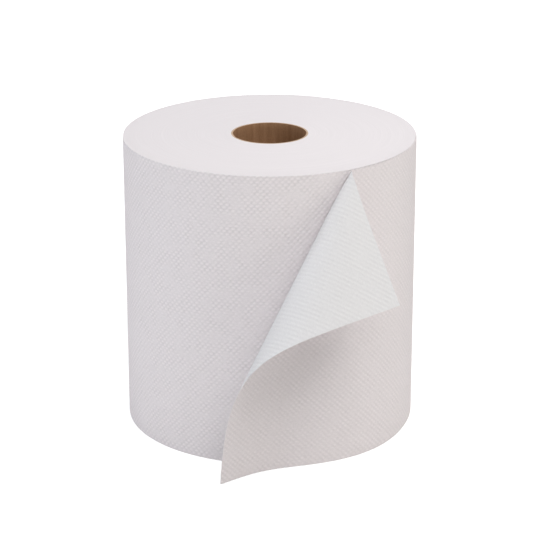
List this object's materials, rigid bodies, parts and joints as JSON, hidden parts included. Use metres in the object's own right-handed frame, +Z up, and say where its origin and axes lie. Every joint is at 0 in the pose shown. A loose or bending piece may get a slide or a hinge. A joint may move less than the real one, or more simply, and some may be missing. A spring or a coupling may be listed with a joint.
{
  "type": "paper towel roll",
  "caption": "Hardwound roll of white embossed paper towel on a chipboard core, standing on end, with its loose outer end dog-eared over.",
  "frame": {"origin": "centre of the core's bore in the plane of the lower end face", "axes": "+Z up the roll's axis, -Y to the front where the free end hangs, +X to the right as seen from the front"},
  "size_m": [0.1978, 0.2513, 0.2],
  "materials": {
    "chipboard": "matt brown spirally wound chipboard",
    "towel_paper": "matt white embossed paper"
  },
  "bodies": {
    "root": {"core": "chipboard", "towel_roll": "towel_paper"}
  },
  "joints": []
}
